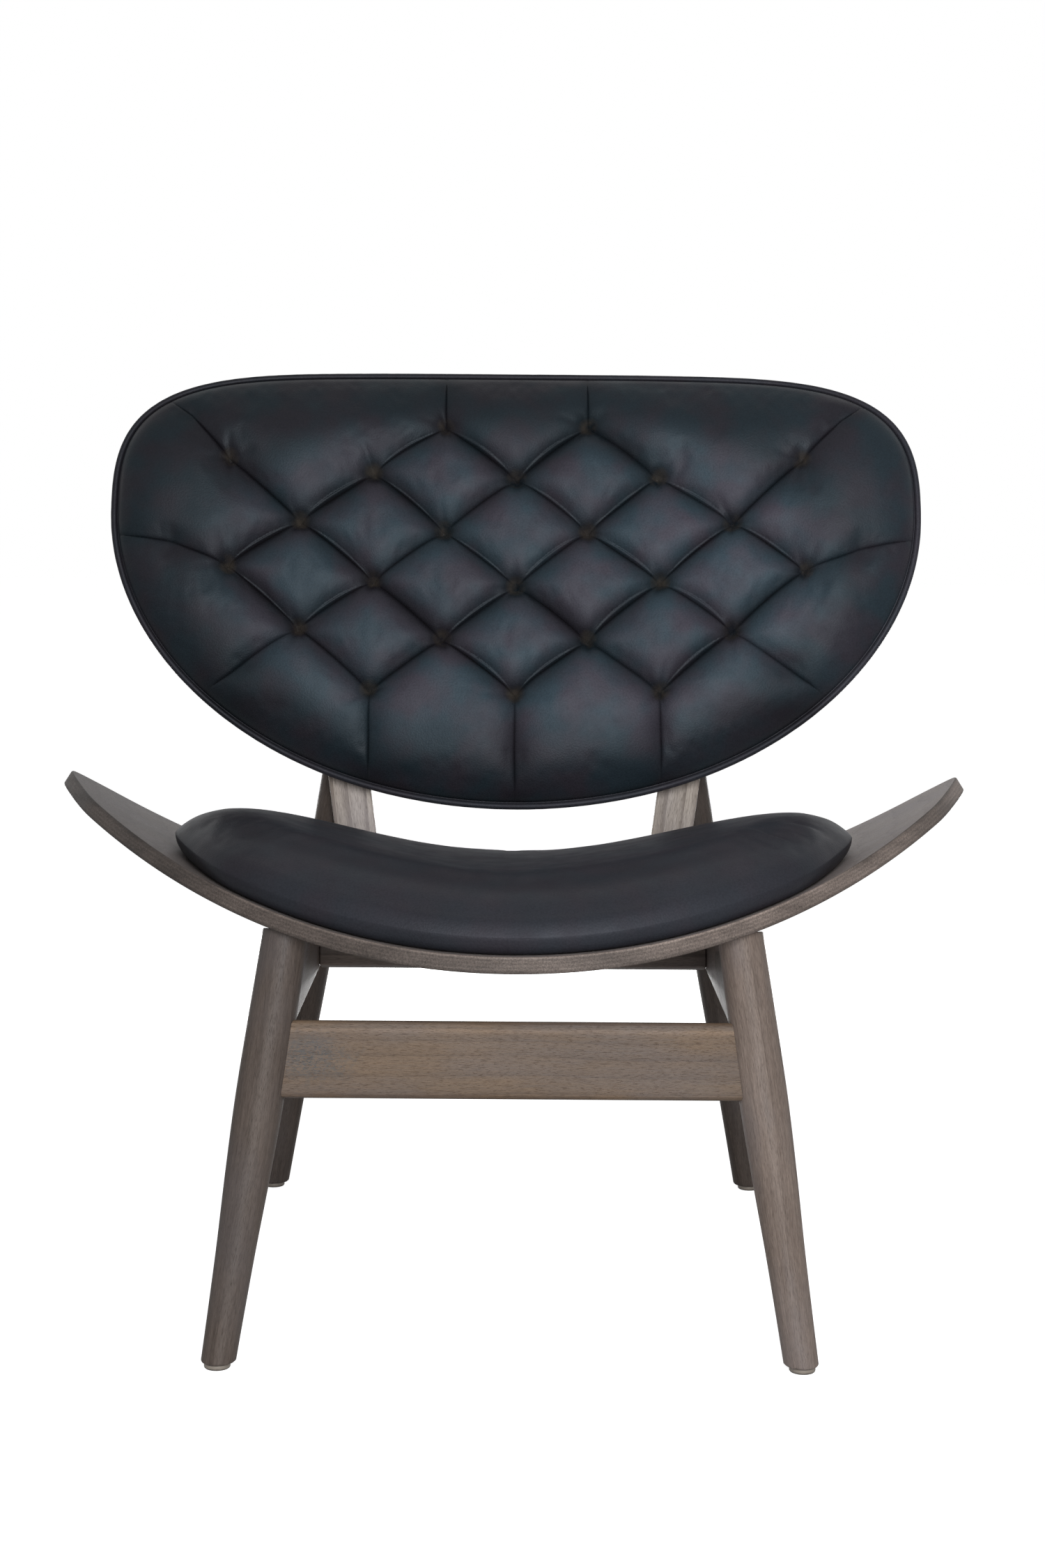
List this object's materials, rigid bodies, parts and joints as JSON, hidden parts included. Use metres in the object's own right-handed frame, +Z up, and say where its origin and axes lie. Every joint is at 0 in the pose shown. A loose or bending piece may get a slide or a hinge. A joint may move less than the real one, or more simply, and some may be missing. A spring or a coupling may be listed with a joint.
{
  "type": "tufted lounge chair",
  "caption": "Low lounge chair for one sitter: a wing-shaped bent plywood seat with an oval pad, a diamond-tufted egg-shaped backrest and turned, splayed wooden legs.",
  "frame": {"origin": "on the floor, at the centre of the chair's width and depth", "axes": "+X to the viewer's right when facing the chair, along the seat's width; +Y from the front legs to the rear legs; +Z up"},
  "size_m": [0.8878, 0.6506, 0.8728],
  "materials": {
    "wood": "grey-brown stain, satin",
    "plywood": "grey-brown stain, satin, veneered plywood",
    "leather": "blue-black, satin, fine pebble grain",
    "foam": "upholstery foam",
    "bare_plywood": "unfinished plywood",
    "nylon": "pale nylon",
    "steel": "zinc-plated"
  },
  "bodies": {
    "root": {"front_leg_left": "wood", "front_leg_right": "wood", "rear_leg_left": "wood", "rear_leg_right": "wood", "glide_front_left": "nylon", "glide_front_right": "nylon", "glide_rear_left": "nylon", "glide_rear_right": "nylon", "front_stretcher": "wood", "side_rail_left": "wood", "side_rail_right": "wood", "rear_apron": "wood", "back_post_left": "wood", "back_post_right": "wood", "seat_shell": "plywood", "seat_pad_board": "bare_plywood", "backrest_board": "bare_plywood", "seat_pad_foam": "foam", "backrest_foam": "foam", "seat_pad_cover": "leather", "backrest_front_cover": "leather", "backrest_rear_cover": "leather", "backrest_welt": "leather", "seat_screw_front_left": "steel", "seat_screw_front_right": "steel", "seat_screw_rear_left": "steel", "seat_screw_rear_right": "steel", "seat_insert_front_left": "steel", "seat_insert_front_right": "steel", "seat_insert_rear_left": "steel", "seat_insert_rear_right": "steel", "back_bolt_upper_left": "steel", "back_bolt_upper_right": "steel", "back_bolt_lower_left": "steel", "back_bolt_lower_right": "steel", "back_insert_upper_left": "steel", "back_insert_upper_right": "steel", "back_insert_lower_left": "steel", "back_insert_lower_right": "steel", "apron_screw_upper_left": "steel", "apron_screw_upper_right": "steel", "apron_screw_lower_left": "steel", "apron_screw_lower_right": "steel"}
  },
  "joints": []
}
